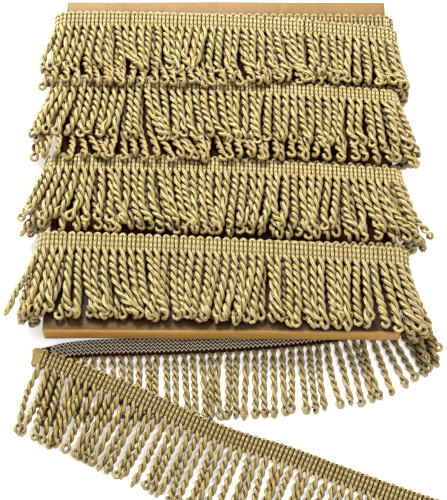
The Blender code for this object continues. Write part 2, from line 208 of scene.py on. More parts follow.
def rgba(colour):
    """A colour as an opaque socket value."""
    return (*tuple(colour)[:3], 1.0)


def smooth(low, high, value):
    """From 0 to 1 in a soft step between two values."""
    part = min(1.0, max(0.0, (value - low) / (high - low)))
    return part * part * (3.0 - 2.0 * part)


class FringeSettings(bpy.types.PropertyGroup):
    """Sizes and colours of the trim itself."""

    pitch: bpy.props.FloatProperty(
        name="Pitch",
        description="Distance from one cord loop of the heading to the next",
        default=0.0059,
        unit="LENGTH",
    )
    heading_width: bpy.props.FloatProperty(
        name="Heading Width",
        description="Width of the braided heading",
        default=0.0135,
        unit="LENGTH",
    )
    tail_strand: bpy.props.FloatProperty(
        name="Strand Length",
        description="Length of a strand below the heading of the loose tail",
        default=0.046,
        unit="LENGTH",
    )
    cord_radius: bpy.props.FloatProperty(
        name="Cord Radius",
        description="Radius of the cord that each strand is twisted from",
        default=0.00136,
        unit="LENGTH",
    )
    twist_length: bpy.props.FloatProperty(
        name="Twist Length",
        description="Length of one full turn of a strand's two halves",
        default=0.0130,
        unit="LENGTH",
    )
    gold: bpy.props.FloatVectorProperty(
        name="Gold",
        description="Colour of the cord's raised yarns",
        default=srgb("DDCB86"),
        size=3,
        subtype="COLOR",
    )
    # The shade colour is painted shade: the grooves between the cord's yarns are mixed towards it.
    shade: bpy.props.FloatVectorProperty(
        name="Shade",
        description="Colour of the cord in the grooves between its yarns",
        default=srgb("5A3A14"),
        size=3,
        subtype="COLOR",
    )


class CardSettings(bpy.types.PropertyGroup):
    """Sizes and colours of the card."""

    edge_round: bpy.props.FloatProperty(
        name="Edge Rounding",
        description="Radius of the card's edges",
        default=0.002,
        unit="LENGTH",
    )
    kraft: bpy.props.FloatVectorProperty(
        name="Kraft",
        description="Colour of the kraft paper",
        default=srgb("937548"),
        size=3,
        subtype="COLOR",
    )


class StageSettings(bpy.types.PropertyGroup):
    """Light and camera."""

    key_power: bpy.props.FloatProperty(
        name="Key Power",
        description="Power of the large soft light",
        default=35.0,
        unit="POWER",
    )
    sky_strength: bpy.props.FloatProperty(
        name="Sky Strength",
        description="Strength of the even white light from all round",
        default=0.42,
    )
    camera_elevation: bpy.props.FloatProperty(
        name="Camera Elevation",
        description="Angle of the camera above the horizon",
        default=math.radians(CAMERA_ELEVATION),
        unit="ROTATION",
    )


def card_middle():
    """The middle of the solid card on the floor: all millimetre tables are measured from it."""
    low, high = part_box("card")
    return Vector(((low[0] + high[0]) / 2, (low[1] + high[1]) / 2, 0.0))


# Materials


def add_node(tree, kind, inputs=None, links=None, **settings):
    """One shader node with its settings, its constant inputs and what its inputs are linked from."""
    node = tree.nodes.new(kind)
    for key, value in settings.items():
        setattr(node, key, value)
    for key, value in (inputs or {}).items():
        node.inputs[key].default_value = value
    for key, source in (links or {}).items():
        tree.links.new(source, node.inputs[key])
    return node


def math_node(tree, operation, first, second=None):
    """The value of one sum; each term is a number or the socket that it comes from."""
    node = tree.nodes.new("ShaderNodeMath")
    node.operation = operation
    for socket, value in zip(node.inputs, (first, second)):
        if value is None:
            continue
        if isinstance(value, (int, float)):
            socket.default_value = value
        else:
            tree.links.new(value, socket)
    return node.outputs["Value"]


def ramp(tree, source, low, high, to_low=0.0, to_high=1.0):
    """A value moved from one span to another and held at its ends."""
    span = {"From Min": low, "From Max": high, "To Min": to_low, "To Max": to_high}
    return add_node(tree, "ShaderNodeMapRange", span, {"Value": source}).outputs["Result"]


def mix(tree, factor, first, second, **settings):
    """Two colours mixed by a factor; each is a constant or the socket that it comes from."""
    constants, links = {}, {"Factor": factor}
    for key, colour in (("A", first), ("B", second)):
        (constants if isinstance(colour, tuple) else links)[key] = colour
    node = add_node(tree, "ShaderNodeMix", constants, links, data_type="RGBA", **settings)
    return node.outputs["Result"]


def cloud(tree, vector, scale, detail, roughness, distortion=0.0):
    """A noise texture's value at this vector."""
    inputs = {"Scale": scale, "Detail": detail, "Roughness": roughness, "Distortion": distortion}
    return add_node(tree, "ShaderNodeTexNoise", inputs, {"Vector": vector}).outputs["Fac"]


def openness(tree, distance, low, high):
    """From 0 in a hollow to 1 in the open, judged within this distance."""
    hollow = add_node(tree, "ShaderNodeAmbientOcclusion", {"Distance": distance}, samples=6)
    return ramp(tree, hollow.outputs["AO"], low, high)


def raise_grain(tree, shader, height, distance):
    """Bumps the surface by this height."""
    inputs = {"Strength": 0.8, "Distance": distance}
    bump = add_node(tree, "ShaderNodeBump", inputs, {"Height": height})
    tree.links.new(bump.outputs["Normal"], shader.inputs["Normal"])


def dimmed(colour, shares):
    """A colour with each of its parts multiplied by a share."""
    return tuple(part * share for part, share in zip(colour, shares))


def fresh_material(name):
    """A material with one Principled shader and nothing else."""
    made = bpy.data.materials.new(name)
    made.use_nodes = True
    tree = made.node_tree
    tree.nodes.clear()
    out = tree.nodes.new("ShaderNodeOutputMaterial")
    shader = tree.nodes.new("ShaderNodeBsdfPrincipled")
    tree.links.new(shader.outputs["BSDF"], out.inputs["Surface"])
    return made, tree, shader


def lay_waves(tree, yarns, turns):
    """A wave from -1 to 1 that winds round a cord, with so many yarns and so many turns in its length."""
    uv = add_node(tree, "ShaderNodeTexCoord")
    parts = add_node(tree, "ShaderNodeSeparateXYZ", links={"Vector": uv.outputs["UV"]})
    along = math_node(tree, "MULTIPLY", parts.outputs["X"], 2 * math.pi * turns)
    around = math_node(tree, "MULTIPLY", parts.outputs["Y"], 2 * math.pi * yarns)
    return math_node(tree, "SINE", math_node(tree, "ADD", along, around))


def cord_material(name, light, dark, gloss, closed=0.28):
    """Satin rayon cord of five twisted yarns: their lay gives the fine lines of light along each cord, as
    bumps and as painted shade in the grooves between the yarns.
    """
    made, tree, shader = fresh_material(name)
    lay = lay_waves(tree, 5, 14)
    fibre = lay_waves(tree, 16, 26)
    # The lay of the yarns as painted shade: the cord's colour on the tops of the yarns, brown in the grooves
    # between them.
    lay_shade = ramp(tree, lay, -1.0, -0.1, 0.25, 1.0)
    # A slow change of dye from one length of cord to the next.
    place = add_node(tree, "ShaderNodeTexCoord").outputs["Object"]
    dye = ramp(tree, cloud(tree, place, 90.0, 2.0, 0.6), 0.35, 0.72)
    tinted = mix(tree, dye, rgba(light), rgba(dimmed(light, (0.88, 0.79, 0.60))))
    colour = mix(tree, lay_shade, rgba(dark), tinted)
    # Painted shade: hollows between the cords, found by ambient occlusion, are mixed to dark brown.
    hollow_shaded = mix(tree, openness(tree, 0.0045, closed, closed + 0.48), rgba(srgb("2A1206")), colour)
    tree.links.new(hollow_shaded, shader.inputs["Base Color"])
    height = math_node(tree, "ADD", lay, math_node(tree, "MULTIPLY", fibre, 0.30))
    raise_grain(tree, shader, height, 0.00030)
    shader.inputs["Roughness"].default_value = gloss
    shader.inputs["Specular IOR Level"].default_value = 0.75
    return made


def ground_material(name, colour):
    """Woven ground of the heading, dull; its dark colour is painted shade between the cord's legs."""
    made, tree, shader = fresh_material(name)
    shader.inputs["Base Color"].default_value = rgba(colour)
    shader.inputs["Roughness"].default_value = 0.85
    shader.inputs["Specular IOR Level"].default_value = 0.03
    return made


def kraft_material(name, colour):
    """Kraft paper drawn over light board: short fibres, faint mottling and shallow creases, with painted
    light on its front edge and painted shade and shadow where the trim lies over it.
    """
    made, tree, shader = fresh_material(name)
    place = add_node(tree, "ShaderNodeTexCoord").outputs["Object"]
    stretch = add_node(tree, "ShaderNodeMapping", {"Scale": (1.0, 3.0, 3.0)}, {"Vector": place})
    # Short fibres that lie along the roll direction of the paper.
    fibres = cloud(tree, stretch.outputs["Vector"], 600.0, 4.0, 0.7)
    # Broad mottling where the paper is thicker or has been handled.
    mottle = cloud(tree, place, 28.0, 3.0, 0.55)
    fine, broad = math_node(tree, "MULTIPLY", fibres, 0.45), math_node(tree, "MULTIPLY", mottle, 0.55)
    mixed = math_node(tree, "ADD", fine, broad)
    dark = dimmed(colour, (0.80, 0.74, 0.66))
    tint = mix(tree, ramp(tree, mixed, 0.3, 0.7), rgba(dark), rgba(colour))
    # Painted light: the upright front edge is made up to four times lighter than the faces.
    back = add_node(tree, "ShaderNodeSeparateXYZ", links={"Vector": place}).outputs["Y"]
    edge = card_middle().y + (CARD_FORWARD - CARD_LENGTH / 2) * MM
    front = ramp(tree, back, edge + 0.0022, edge + 0.0008, 1.0, 4.0)
    # Painted shadow: the strip beside it, under the strands' ends, is darker and browner.
    strip = ramp(tree, back, edge + 0.040, edge + 0.016)
    tip_shadowed = mix(tree, strip, tint, (0.50, 0.46, 0.34, 1.0), blend_type="MULTIPLY")
    lit = add_node(tree, "ShaderNodeVectorMath", links={0: tip_shadowed, 1: front}, operation="MULTIPLY")
    # Only the strips at its back and front edges are free of the trim. Painted shade: where the trim lies
    # over it, and in hollows near it, the paper is mixed to dark brown.
    back_strip = ramp(tree, back, edge + 0.242, edge + 0.254, 0.04, 1.0)
    front_strip = ramp(tree, back, edge + 0.036, edge + 0.022, 0.04, 1.0)
    strips = math_node(tree, "MAXIMUM", back_strip, front_strip)
    free = math_node(tree, "MULTIPLY", openness(tree, 0.012, 0.55, 0.95), strips)
    trim_shaded = mix(tree, free, rgba(srgb("28140A")), lit.outputs["Vector"])
    tree.links.new(trim_shaded, shader.inputs["Base Color"])
    crease = cloud(tree, place, 60.0, 3.0, 0.6, 0.6)
    rough = math_node(tree, "ADD", crease, math_node(tree, "MULTIPLY", fibres, 0.15))
    raise_grain(tree, shader, rough, 0.0012)
    shader.inputs["Roughness"].default_value = 0.38
    gloss = math_node(tree, "MULTIPLY", strips, 0.12)
    tree.links.new(gloss, shader.inputs["Specular IOR Level"])
    return made


def floor_material(name):
    """Matt white board that the card lies on."""
    made, tree, shader = fresh_material(name)
    shader.inputs["Base Color"].default_value = (0.95, 0.95, 0.95, 1.0)
    shader.inputs["Roughness"].default_value = 0.9
    shader.inputs["Specular IOR Level"].default_value = 0.0
    shader.inputs["Emission Color"].default_value = (1.0, 1.0, 1.0, 1.0)
    shader.inputs["Emission Strength"].default_value = 0.5
    return made


def material(name, maker, *values):
    """The material of this name, made once."""
    return bpy.data.materials.get(name) or maker(name, *values)


def cord_skin(context):
    """The cords of the rows on the face, the lightest."""
    trim = context.scene.fringe_trim
    return material("satin_twisted_rayon_cord", cord_material, trim.gold, trim.shade, 0.34)


def under_skin(context):
    """The cords that lie under the rows, round the sides and under the card: painted shade, as a darker,
    warmer copy of the cord's colour with more of its hollows darkened.
    """
    trim = context.scene.fringe_trim
    light = dimmed(trim.gold, (0.90, 0.84, 0.74))
    return material("satin_twisted_rayon_cord_under", cord_material, light, trim.shade, 0.4, 0.40)


def tail_skin(context):
    """The cords of the loose tail, glossier, and with painted shade: a darker, browner copy of the cord's
    colour with more of its hollows darkened.
    """
    trim = context.scene.fringe_trim
    light = dimmed(trim.gold, (0.84, 0.78, 0.62))
    return material("satin_twisted_rayon_cord_loose", cord_material, light, trim.shade, 0.28, 0.40)


def thread_material(name, colour):
    """Pale binding thread: fine smooth stitches that stand out from the dark ground."""
    made, tree, shader = fresh_material(name)
    shader.inputs["Base Color"].default_value = rgba(colour)
    shader.inputs["Roughness"].default_value = 0.4
    return made


# Rails: where the heading runs


def row_back_edge(row, x):
    """Y of a heading's back edge at this x, a smooth bow through its left, middle and right value."""
    part = 2.0 * x / CARD_WIDTH
    tilt = (row["right_y"] - row["left_y"]) / 2 * part
    bend = ((row["right_y"] + row["left_y"]) / 2 - row["middle_y"]) * part * part
    return row["middle_y"] + tilt + bend


def face_rail(row, level):
    """The frame of a row's heading on the face, at s from its middle and round the card's sides."""
    radius = level + CORNER_DROP
    tipped = row.get("tip_back", 0.0)
    centre = CARD_TOP - CORNER_DROP
    drop = CARD_TOP - CARD_FLOOR - 2 * CORNER_DROP

    def frame_at(s):
        beyond = abs(s) - HALF_FLAT
        side = math.copysign(1.0, s)
        if beyond <= 0:
            x, z, turn = s, centre + radius, 0.0
        else:
            turn = min(math.pi / 2, beyond / radius)
            rest = max(0.0, beyond - radius * math.pi / 2)
            x = side * (HALF_FLAT + radius * math.sin(turn))
            z = centre + radius * math.cos(turn) - min(rest, drop)
        slope = row_back_edge(row, x + 0.5) - row_back_edge(row, x - 0.5)
        tangent = Vector((math.cos(turn), slope, -side * math.sin(turn))).normalized()
        normal = Vector((side * math.sin(turn), 0.0, math.cos(turn)))
        origin = Vector((x, row_back_edge(row, x), z)) - normal * tipped
        ruling = (Vector((0.0, -1.0, 0.0)) + normal * (tipped / HEADING)).normalized()
        return origin, ruling, tangent, normal

    return frame_at


def under_rail(right, next_left, level):
    """The frame of a turn's heading under the card, from right to left, its face down."""
    slope = (next_left - right) / CARD_WIDTH

    def frame_at(s):
        x = -s
        y = right + slope * (CARD_WIDTH / 2 - x)
        tangent = Vector((-1.0, slope, 0.0)).normalized()
        return Vector((x, y, level)), Vector((0.0, -1.0, 0.0)), tangent, Vector((0.0, 0.0, -1.0))

    return frame_at


def curve_at(table, place):
    """A row of the table's numbers at this place along it, passing smoothly through each row."""
    last = len(table) - 1
    low = min(last - 1, max(0, int(math.floor(place))))
    part = place - low
    before, first, second, after = (table[min(last, max(0, low + i))] for i in (-1, 0, 1, 2))
    values = []
    for a, b, c, d in zip(before, first, second, after):
        bend = (2 * a - 5 * b + 4 * c - d) * part + (3 * b - a - 3 * c + d) * part * part
        values.append(b + 0.5 * part * ((c - a) + bend))
    return values


def tail_frame(place):
    """The frame of the tail at this place in its table: back edge, ruling, tangent and face normal."""
    x, y, z, lean = curve_at(TAIL, place)
    step = 0.02
    middle = min(len(TAIL) - 1 - step, max(step, place))
    ahead = Vector(curve_at(TAIL, middle + step)[:3])
    behind = Vector(curve_at(TAIL, middle - step)[:3])
    tangent = (ahead - behind).normalized()
    turn = math.radians(lean)
    ruling = Vector((math.sin(turn), -math.cos(turn), 0.0))
    if abs(tangent.z) > 0.25:
        level = Vector((0.0, -1.0, 0.0))
        ruling = (ruling * (1 - abs(tangent.z)) + level * abs(tangent.z)).normalized()
    normal = ruling.cross(tangent).normalized()
    return Vector((x, y, max(z, 1.5))), ruling, tangent, normal


def spaced_places(frame_at, first, last, pitch, width):
    """Places spaced evenly by the length along the heading's front edge."""
    fine = []
    length = 0.0
    before = None
    steps = 500
    for i in range(steps + 1):
        place = first + (last - first) * i / steps
        origin, ruling, _, _ = frame_at(place)
        point = origin + ruling * width
        if before is not None:
            length += (point - before).length
        fine.append((length, place))
        before = point
    count = int((length - 1e-6) / pitch)
    rest = (length - count * pitch) / 2
    places = []
    index = 0
    for number in range(count + 1):
        wanted = rest + number * pitch
        while index < len(fine) - 2 and fine[index + 1][0] < wanted:
            index += 1
        (low, a), (high, b) = fine[index], fine[index + 1]
        places.append(a + (b - a) * (wanted - low) / max(1e-9, high - low))
    return places


# Cords


def path_point(path, part):
    """The point and direction at this part of the way along a polyline of evenly spaced points."""
    place = min(len(path) - 1.001, max(0.0, part * (len(path) - 1)))
    low = int(place)
    share = place - low
    before = path[max(0, low - 1)]
    first = path[low]
    second = path[low + 1]
    after = path[min(len(path) - 1, low + 2)]
    bend = (before * 2 - first * 5 + second * 4 - after) * share
    bend += (first * 3 - before - second * 3 + after) * share * share
    point = first + (second - before + bend) * (0.5 * share)
    direction = (second - before) * (1 - share) + (after - first) * share
    return point, direction.normalized()


def cord_loop(local, path, reach, options):
    """One closed cord: (points, radii). local is the heading's frame, path the strand's middle line."""
    origin, ruling, tangent, normal = local
    width, leg, steps, wobble = (options[key] for key in ("width", "leg", "steps", "wobble"))
    points = []
    radii = []

    def on_heading(side, along, lift=0.0, radius=1.0):
        points.append(origin + tangent * (side + wobble) + ruling * along + normal * lift)
        radii.append(radius)

    def leg_radius(along):
        return 0.90 - 0.13 * math.cos(2 * math.pi * (along - BINDER_ROWS[0]) / BINDER_STEP)

    leg_steps = options["leg_steps"]
    heights = [width - 0.4 - (width - 3.0) * i / leg_steps for i in range(leg_steps + 1)]

    def ring(part, phase, spread):
        point, direction = path_point(path, part)
        side = (tangent - direction * tangent.dot(direction)).normalized()
        rise = side.cross(direction)
        if rise.dot(options["up"]) < 0:
            rise.negate()
        turn = phase - 2 * math.pi * part * reach / options["twist"]
        turn += 0.6 * math.sin(9.0 * part + options["swirl"]) * smooth(0.0, 0.15, part)
        return point, direction, side, rise, turn, options["ply"] * spread

    def on_strand(part, phase):
        spread = 1.0 + 0.75 * smooth(1.0 - 4.2 / reach, 1.0 - 1.2 / reach, part)
        point, _, side, rise, turn, radius = ring(part, phase, spread)
        points.append(point + side * radius * math.cos(turn) + rise * radius * math.sin(turn))
        radii.append(1.0)

    for along in heights:
        on_heading(-leg, along, 0.0, leg_radius(along))
    for turn in (-60, -25, 0, 25, 60):
        angle = math.radians(turn)
        on_heading(leg * math.sin(angle), 2.6 - leg * math.cos(angle), 0.1, 0.86)
    for along in reversed(heights):
        on_heading(leg, along, 0.0, leg_radius(along))
    for i in range(1, steps + 1):
        on_strand(i / steps, 0.0)
    point, direction, side, rise, turn, radius = ring(1.0, 0.0, 1.75)
    out = side * math.cos(turn) + rise * math.sin(turn)
    for angle in (45, 90, 135):
        bend = math.radians(angle)
        points.append(point + out * radius * math.cos(bend) + direction * radius * 1.15 * math.sin(bend))
        radii.append(0.95)
    for i in range(steps, 0, -1):
        on_strand(i / steps, math.pi)
    return points, radii, True


def thread_rows(frames, rows, lift, swing, per_gap, radius=THREAD):
    """Fine threads that run along the heading, over each cord leg and down between them."""
    splines = []
    for row in rows:
        points = []
        for number, (origin, ruling, tangent, normal) in enumerate(frames):
            for step in range(per_gap):
                offset = (step / per_gap - 0.5) * PITCH
                over = lift
                if lift > 0:
                    over *= 0.55 + 0.45 * math.cos(2 * math.pi * (step / per_gap - 0.25) * 2)
                sway = swing * (1 if (number * per_gap + step) % 2 else -1)
                points.append(origin + tangent * offset + ruling * (row + sway) + normal * over)
        splines.append((points, [radius / STITCH_BASE] * len(points), False))
    return splines


def add_object(name, data):
    """A new object of the scene, at the origin."""
    made = bpy.data.objects.new(name, data)
    bpy.context.scene.collection.objects.link(made)
    return made


def mesh_of(name, bm, skin):
    """The mesh of a bmesh, with its material."""
    mesh = bpy.data.meshes.new(name)
    bm.to_mesh(mesh)
    bm.free()
    mesh.materials.append(skin)
    return mesh


def curve_piece(name, splines, skin, shift, depth, sides):
    """Round cords along the splines, none of them under the floor."""
    data = bpy.data.curves.new(name, "CURVE")
    data.dimensions = "3D"
    data.bevel_depth = depth
    data.bevel_resolution = sides
    data.use_fill_caps = True
    data.materials.append(skin)
    for points, radii, closed in splines:
        spline = data.splines.new("POLY")
        spline.points.add(len(points) - 1)
        flat = []
        for point, radius in zip(points, radii):
            height = max(point.z * MM, depth * radius)
            flat += [point.x * MM + shift.x, point.y * MM + shift.y, height, 1.0]
        spline.points.foreach_set("co", flat)
        spline.points.foreach_set("radius", radii)
        spline.use_cyclic_u = closed
        spline.use_smooth = True
    return add_object(name, data)


def band_piece(name, frames, low, high, level, skin, shift):
    """The woven ground inside a heading, as one thin ribbon drawn out along it."""
    bm = bmesh.new()
    edge = None
    for origin, ruling, tangent, normal in frames:
        ends = [origin + ruling * along + normal * level for along in (low, high)]
        ends = [point * MM + shift for point in ends]
        if edge is None:
            verts = [bm.verts.new(point) for point in ends]
            edge = bm.edges.new(verts)
            continue
        grown = bmesh.ops.extrude_edge_only(bm, edges=[edge])["geom"]
        fresh = [v for v in grown if isinstance(v, bmesh.types.BMVert)]
        edge = [e for e in grown if isinstance(e, bmesh.types.BMEdge)][0]
        # The new edge's ends may come in either order: they are matched to the last edge's ends.
        others = [e.other_vert(v) for v in fresh for e in v.link_edges]
        linked = [vert for vert in others if vert not in fresh]
        order = fresh if linked[0] == verts[0] else fresh[::-1]
        for vert, point in zip(order, ends):
            vert.co = point
        verts = order
    made = add_object(name, mesh_of(name, bm, skin))
    thick = made.modifiers.new("cloth_thickness", "SOLIDIFY")
    thick.thickness = GROUND_THICKNESS
    thick.offset = 0.0
    return made


def parting(row, x):
    """How far a strand's end at this x is pushed aside by the partings of its row."""
    shift = 0.0
    for number, middle, spread, width in PARTINGS:
        if number == row:
            away = x - middle
            shift += math.copysign(spread * math.exp(-abs(away) / width), away)
    return shift


def bunches(count, step, rng):
    """Offsets of the strands' ends, in which neighbours follow each other and so gather into bunches."""
    offsets = []
    value = 0.0
    for _ in range(count):
        value = 0.80 * value + rng.gauss(0.0, step)
        offsets.append(value)
    mean = sum(offsets) / count
    return [offset - mean for offset in offsets]


def face_strand(row, number, local, place, rng, loose, offset):
    """The middle line of a strand on the face: leaning, a little wavy, and sinking towards its end."""
    origin, ruling, _, normal = local
    root = origin + ruling * STRAND_ROOT
    reach = row["reach"] + rng.uniform(-2.4, 1.8)
    span = (ROW_STRANDS - 1) * PITCH / 2
    side = math.copysign(1.0, place)
    edge = smooth(FLARE_FROM, span, abs(place))
    flare = edge * (RIGHT_FLARES if side > 0 else LEFT_FLARES)[number % 4] * side
    flare += sum(out for found, x, out in STRAYS if found == number and abs(place - x) < 2.0)
    curl = row.get("curl_left", 0.0)
    curl += (row.get("curl_right", 0.0) - curl) * smooth(-20.0, 60.0, place)
    reach += curl
    if number < 3:
        reach -= 3.0 * (place / span) ** 2
    drift = row["wave"] * math.sin(place / 26.0 + row["phase"]) + 0.2 + offset
    drift += parting(number, place) * 2.2 + rng.gauss(0.0, 0.6) * loose
    drift *= 1.0 - 0.6 * edge
    bow = rng.gauss(0.0, 1.0) * loose
    hook = rng.gauss(0.0, 1.8) * loose
    sway = rng.uniform(0.0, 2 * math.pi)
    lift = rng.choice((-1.1, 0.2, 1.6)) * loose + rng.uniform(-0.3, 0.3)
    fall = row["tip_drop"] + 4.0 * smooth(HALF_FLAT - 6.0, span, abs(place)) + rng.uniform(-0.8, 0.8)
    path = []
    steps = 8
    for step in range(steps + 1):
        part = step / steps
        aside = drift * part ** 1.7 + flare * part ** 1.35 + bow * math.sin(math.pi * part)
        aside += 0.5 * math.sin(5.6 * part + sway) * part + hook * smooth(0.72, 1.0, part)
        aside += (0.5 + 0.3 * math.sin(place / 9.0)) * curl * smooth(0.5, 1.0, part)
        rise = lift * smooth(0.0, 0.35, part) * (1.0 - 0.4 * part) - fall * part ** 2.2
        rise += min(7.0, 1.1 * curl) * smooth(0.66, 1.0, part)
        point = root + Vector((0.0, -1.0, 0.0)) * reach * part + Vector((aside, 0.0, 0.0))
        point += normal * 0.5 * smooth(0.0, 0.2, part) + Vector((0.0, 0.0, rise))
        path.append(point)
    return path, reach


def limb_height(point):
    """Height of the back limb's strands under this point, sloping away to the floor in front of them."""
    edge = None
    for (x0, y0, _, _), (x1, y1, _, _) in zip(TAIL_BACK, TAIL_BACK[1:]):
        if min(x0, x1) <= point.x <= max(x0, x1):
            edge = y0 + (y1 - y0) * (point.x - x0) / (x1 - x0)
    if edge is None:
        edge = TAIL_BACK[-1][1] if point.x < 0 else TAIL_BACK[0][1]
    beyond = (edge - LIMB_REACH) - point.y
    beside = max(0.0, TAIL_BACK[-1][0] - 6.0 - point.x)
    out = math.hypot(max(0.0, beyond), beside)
    return LIMB_HEIGHT * (1.0 - min(1.0, out / LIMB_SLOPE))


def tail_strand(local, lift, rng, length, fan, bunch):
    """The middle line of a strand of the tail, lying on the floor or on whatever is under it."""
    origin, ruling, _, _ = local
    root = origin + ruling * STRAND_ROOT
    reach = length + rng.uniform(-1.6, 1.4)
    lean = bunch + rng.gauss(0.0, 1.0)
    bow = rng.gauss(0.0, 0.8)
    sway = rng.uniform(0.0, 2 * math.pi)
    across = Vector((-ruling.y, ruling.x, 0.0))
    path = []
    steps = 7
    for step in range(steps + 1):
        part = step / steps
        side = lean * part + bow * math.sin(math.pi * part) + 0.4 * math.sin(5.0 * part + sway) * part
        point = root + ruling * reach * part + across * side
        point.x += fan * part
        floor = limb_height(point) if lift is None else lift
        rest = floor + 2.5
        if root.z > rest:
            rest = max(rest, root.z + (rest - root.z) * 1.2 * part)
        point.z = root.z + (rest - root.z) * smooth(0.0, 0.16, part)
        path.append(point)
    return path, reach


def even_places(half, pitch):
    """Places about a pitch apart, from one side of the middle to the other."""
    count = int(2 * half / pitch)
    return [-half + 2 * half * i / count for i in range(count + 1)]


def loop_options(trim, up, fine, rng, ply):
    """What one cord's loop is made with; fine loops have more points."""
    return {
        "width": trim.heading_width / MM,
        "leg": 1.46,
        "leg_steps": 10 if fine else 5,
        "steps": 40 if fine else 22,
        "ply": ply,
        "twist": trim.twist_length / MM * rng.uniform(0.80, 1.20),
        "swirl": rng.uniform(0.0, 2 * math.pi),
        "up": up,
        "wobble": rng.gauss(0.0, 0.12),
    }


def fringe_splines(trim, frame_at, places, strand_at, fine, rng, stitches=True, ply=1.45):
    """The cords of one length of fringe, and the stitches that bind its heading."""
    splines = []
    frames = []
    for place in places:
        local = frame_at(place)
        frames.append(local)
        path, reach = strand_at(local, place, rng)
        options = loop_options(trim, local[3], fine, rng, ply)
        splines.append(cord_loop(local, path, reach, options))
    if stitches:
        splines += thread_rows(frames, BINDER_ROWS, 1.36, 0.0, 4)
    return splines


class FRINGE_OT_card(bpy.types.Operator):
    """Makes the kraft card that the trim is wound on"""

    bl_idname = "fringe.make_card"
    bl_label = "Make Card"

    def execute(self, context):
        card = context.scene.fringe_card
        shift = card_middle()
        bm = bmesh.new()
        verts = bmesh.ops.create_cube(bm, size=1.0)["verts"]
        size = (CARD_WIDTH * MM, CARD_LENGTH * MM, (CARD_TOP - CARD_FLOOR) * MM)
        bmesh.ops.scale(bm, verts=verts, vec=size)
        middle = shift + Vector((0.0, CARD_FORWARD * MM, (CARD_TOP + CARD_FLOOR) / 2 * MM))
        bmesh.ops.translate(bm, verts=verts, vec=middle)
        bmesh.ops.bevel(
            bm, geom=list(bm.edges), offset=card.edge_round, segments=5, profile=0.5, affect="EDGES"
        )
        long_edges = [e for e in bm.edges if e.calc_length() > 0.1]
        bmesh.ops.subdivide_edges(bm, edges=long_edges, cuts=60, use_grid_fill=True)
        # The paper bellies and creases slightly, most of all along the free strip at the front.
        for vert in bm.verts:
            front = smooth(-0.100, -0.132, vert.co.y - shift.y) if vert.co.z > middle.z else 0.2
            wave = noise.noise(Vector((vert.co.x * 38.0, vert.co.y * 60.0, vert.co.z * 60.0)))
            vert.co.z += wave * 0.0005 * front
            vert.co.y += wave * 0.0004
        paper = material("kraft_paper_over_board", kraft_material, card.kraft)
        mesh = mesh_of("kraft_card", bm, paper)
        mesh.shade_smooth()
        made = add_object("kraft_card", mesh)
        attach(made, "root")
        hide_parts("card")
        return {"FINISHED"}


class FRINGE_OT_rows(bpy.types.Operator):
    """Winds the four rows of fringe that lie on top of the card's face"""

    bl_idname = "fringe.wind_rows"
    bl_label = "Wind Face Rows"

    def execute(self, context):
        trim = context.scene.fringe_trim
        shift = card_middle()
        rng = random.Random(SEED)
        skin = cord_skin(context)
        # The ground's dark brown is painted shade between the cord's legs.
        ground = material("woven_ground_braid", ground_material, srgb("341D0C"))
        for number, values in enumerate(ROWS):
            row = dict(zip(ROW_COLUMNS, values))
            rail = face_rail(row, OUTER_LEVEL)
            pitch = trim.pitch / MM
            span = (ROW_STRANDS - 1) * pitch / 2
            places = [-span + pitch * i for i in range(ROW_STRANDS)]
            offsets = dict(zip(places, bunches(ROW_STRANDS, 2.2, rng)))

            def strand_at(local, place, rng, row=row, number=number, offsets=offsets):
                return face_strand(row, number, local, place, rng, 1.0, offsets[place])

            splines = fringe_splines(trim, rail, places, strand_at, True, rng)
            name = "wound_row_%d" % (number + 1)
            made = curve_piece(name + "_cords", splines, skin, shift, trim.cord_radius, 2)
            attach(made, "root")
            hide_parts(row["name"])
            frames = [rail(-span - 2 + (2 * span + 4) * i / 90) for i in range(91)]
            band = band_piece(name + "_ground", frames, 1.4, 13.2, -0.5, ground, shift)
            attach(band, "root")
        return {"FINISHED"}


class FRINGE_OT_under_rows(bpy.types.Operator):
    """Winds the under layer that shows between the rows of the face"""

    bl_idname = "fringe.wind_under_rows"
    bl_label = "Wind Under Rows"

    def execute(self, context):
        trim = context.scene.fringe_trim
        shift = card_middle()
        rng = random.Random(SEED + 1)
        skin = under_skin(context)
        pitch = trim.pitch / MM
        for number, values in enumerate(UNDER_ROWS):
            row = dict(zip(UNDER_COLUMNS, values), wave=2.4, phase=1.9 + number, tip_drop=0.4)
            # The first and the last lie higher, and their headings show.
            high = number in (0, 3)
            rail = face_rail(row, INNER_LEVEL + (1.0 if high else 0.0))
            places = even_places(UNDER_SPAN, pitch)
            offsets = dict(zip(places, bunches(len(places), 0.8, rng)))

            def strand_at(local, place, rng, row=row, number=number + UNDER_NUMBER, offsets=offsets):
                return face_strand(row, number, local, place * 0.99, rng, 0.8, offsets[place])

            splines = fringe_splines(trim, rail, places, strand_at, False, rng, stitches=high)
            name = "under_row_%d_cords" % (number + 1)
            made = curve_piece(name, splines, skin, shift, trim.cord_radius, 1)
            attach(made, "root")
            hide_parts("winding")
        return {"FINISHED"}


